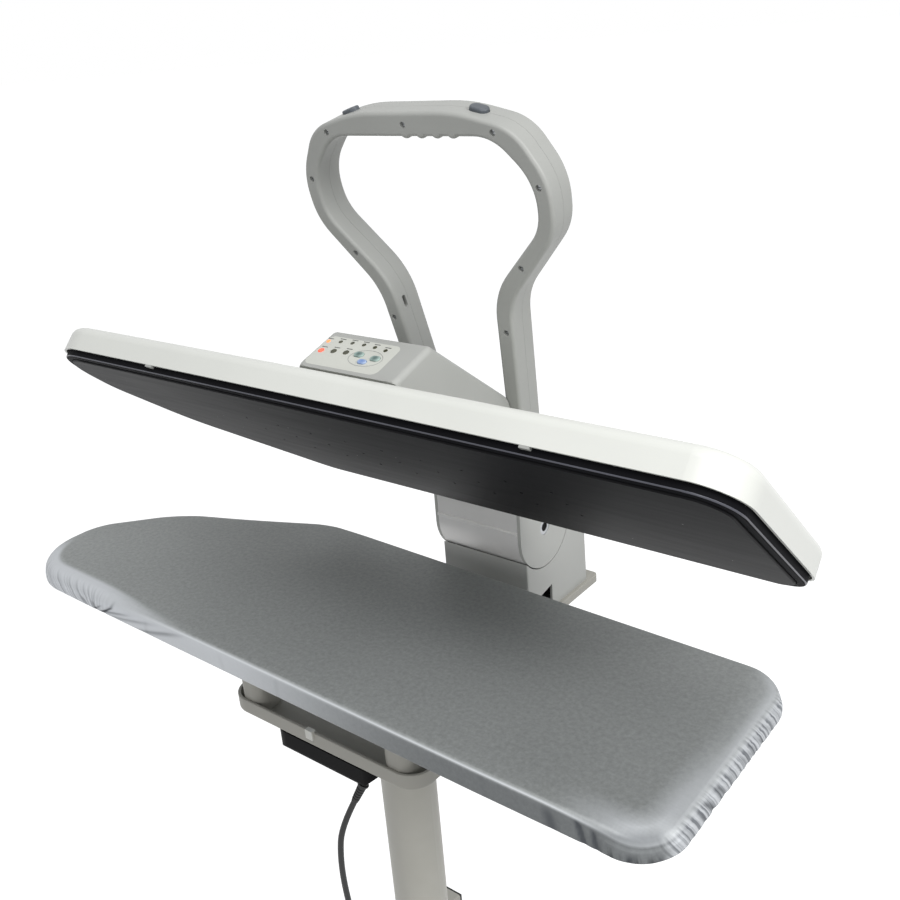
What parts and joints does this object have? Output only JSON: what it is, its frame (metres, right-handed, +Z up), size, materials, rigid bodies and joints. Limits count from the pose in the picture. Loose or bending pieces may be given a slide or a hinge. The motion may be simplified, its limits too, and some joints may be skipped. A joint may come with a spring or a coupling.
{
  "type": "steam ironing press",
  "caption": "Pedestal steam ironing press: padded board, hinged heated head with loop handle, control panel and steam keys, mains lead with plug.",
  "frame": {"origin": "on the floor under the middle of the press's overall box, without its lead", "axes": "+X to the board's square end, +Y to the back (the hinge side), +Z up"},
  "size_m": [0.8934, 0.628, 1.3552],
  "materials": {
    "stand_paint": "semi-gloss",
    "foot_rubber": "matt",
    "steel": "zinc plated",
    "white_clip": "satin",
    "black_plastic": "satin",
    "cord_black": "satin",
    "board_steel": "satin",
    "felt": "felt",
    "silver_cloth": "silver coated cotton",
    "grey_plastic": "satin",
    "bronze": "plain bearing",
    "cast_alloy": "painted grey",
    "white_cover": "gloss",
    "sole_dark": "dark non-stick coating",
    "skirt_dark": "satin phenolic",
    "film": "satin film",
    "circuit": "satin",
    "lamp_orange": "clear",
    "lamp_red": "clear",
    "lamp_olive": "clear",
    "tank_clear": "translucent",
    "boiler_metal": "cast",
    "key_grey": "satin",
    "key_teal": "satin",
    "key_blue": "satin"
  },
  "bodies": {
    "stand": {"foot_skid_left": "stand_paint", "foot_skid_right": "stand_paint", "foot_crossbar": "stand_paint", "foot_pads": "foot_rubber", "column_socket": "stand_paint", "column_tube": "stand_paint", "column_head": "stand_paint", "stand_bolts": "steel", "base_pan": "stand_paint", "front_post_left": "stand_paint", "front_post_right": "stand_paint", "rear_posts": "stand_paint", "base_clip": "white_clip", "lead_box": "black_plastic", "terminal_block": "black_plastic", "cord_gland": "cord_black", "power_cord": "cord_black", "cord_coil": "cord_black", "power_plug": "cord_black", "board_plate": "board_steel", "board_pad": "felt", "board_cover": "silver_cloth", "hinge_block": "grey_plastic", "hinge_bracket": "steel", "hinge_bushes": "bronze", "hinge_spring_left": "steel", "hinge_spring_right": "steel"},
    "head": {"hinge_pin": "steel", "pin_plugs": "black_plastic", "hinge_arm": "cast_alloy", "drum_cover": "grey_plastic", "drum_cheeks": "grey_plastic", "head_cover": "white_cover", "cover_clips": "white_clip", "sole_plate": "sole_dark", "sole_skirt": "skirt_dark", "heating_element": "steel", "thermostat": "steel", "heat_shield": "steel", "head_spacers": "steel", "head_bolts": "steel", "control_housing": "grey_plastic", "panel_film": "film", "control_board": "circuit", "led_orange": "lamp_orange", "led_red": "lamp_red", "led_olive": "lamp_olive", "water_tank": "tank_clear", "water_pump": "tank_clear", "steam_boiler": "boiler_metal", "handle_front": "grey_plastic", "handle_back": "grey_plastic", "handle_screws": "steel"},
    "steam_key_left": {"steam_key_left": "key_grey"},
    "steam_key_right": {"steam_key_right": "key_grey"},
    "panel_key_left": {"panel_key_left": "key_teal"},
    "panel_key_right": {"panel_key_right": "key_teal"},
    "panel_key_steam": {"panel_key_steam": "key_blue"},
    "filler_cap": {"filler_cap": "key_grey"}
  },
  "joints": [
    {"name": "head_hinge", "type": "hinge", "parent": "stand", "child": "head", "pos_m": [0.03125, 0.1973, 0.8695], "axis": [1, 0, 0], "range_deg": [0, 41.7], "stiffness_Nm_per_rad": 10, "springref_deg": -126.05},
    {"name": "steam_key_left_press", "type": "slide", "parent": "head", "child": "steam_key_left", "axis": [0.2425, 0.2083, -0.9475], "range_m": [0, 0.0025], "stiffness_N_per_m": 600, "springref_m": -0.002},
    {"name": "steam_key_right_press", "type": "slide", "parent": "head", "child": "steam_key_right", "axis": [-0.2425, 0.2083, -0.9475], "range_m": [0, 0.0025], "stiffness_N_per_m": 600, "springref_m": -0.002},
    {"name": "panel_key_left_press", "type": "slide", "parent": "head", "child": "panel_key_left", "axis": [0, 0.3246, -0.9458], "range_m": [0, 0.001], "stiffness_N_per_m": 800, "springref_m": -0.0015},
    {"name": "panel_key_right_press", "type": "slide", "parent": "head", "child": "panel_key_right", "axis": [0, 0.3246, -0.9458], "range_m": [0, 0.001], "stiffness_N_per_m": 800, "springref_m": -0.0015},
    {"name": "panel_key_steam_press", "type": "slide", "parent": "head", "child": "panel_key_steam", "axis": [0, 0.3246, -0.9458], "range_m": [0, 0.001], "stiffness_N_per_m": 800, "springref_m": -0.0015},
    {"name": "filler_cap_turn", "type": "hinge", "parent": "head", "child": "filler_cap", "pos_m": [0.03125, 0.11236, 1.07978], "axis": [0, 0.6652, 0.7466], "range_deg": [0, 90]}
  ]
}
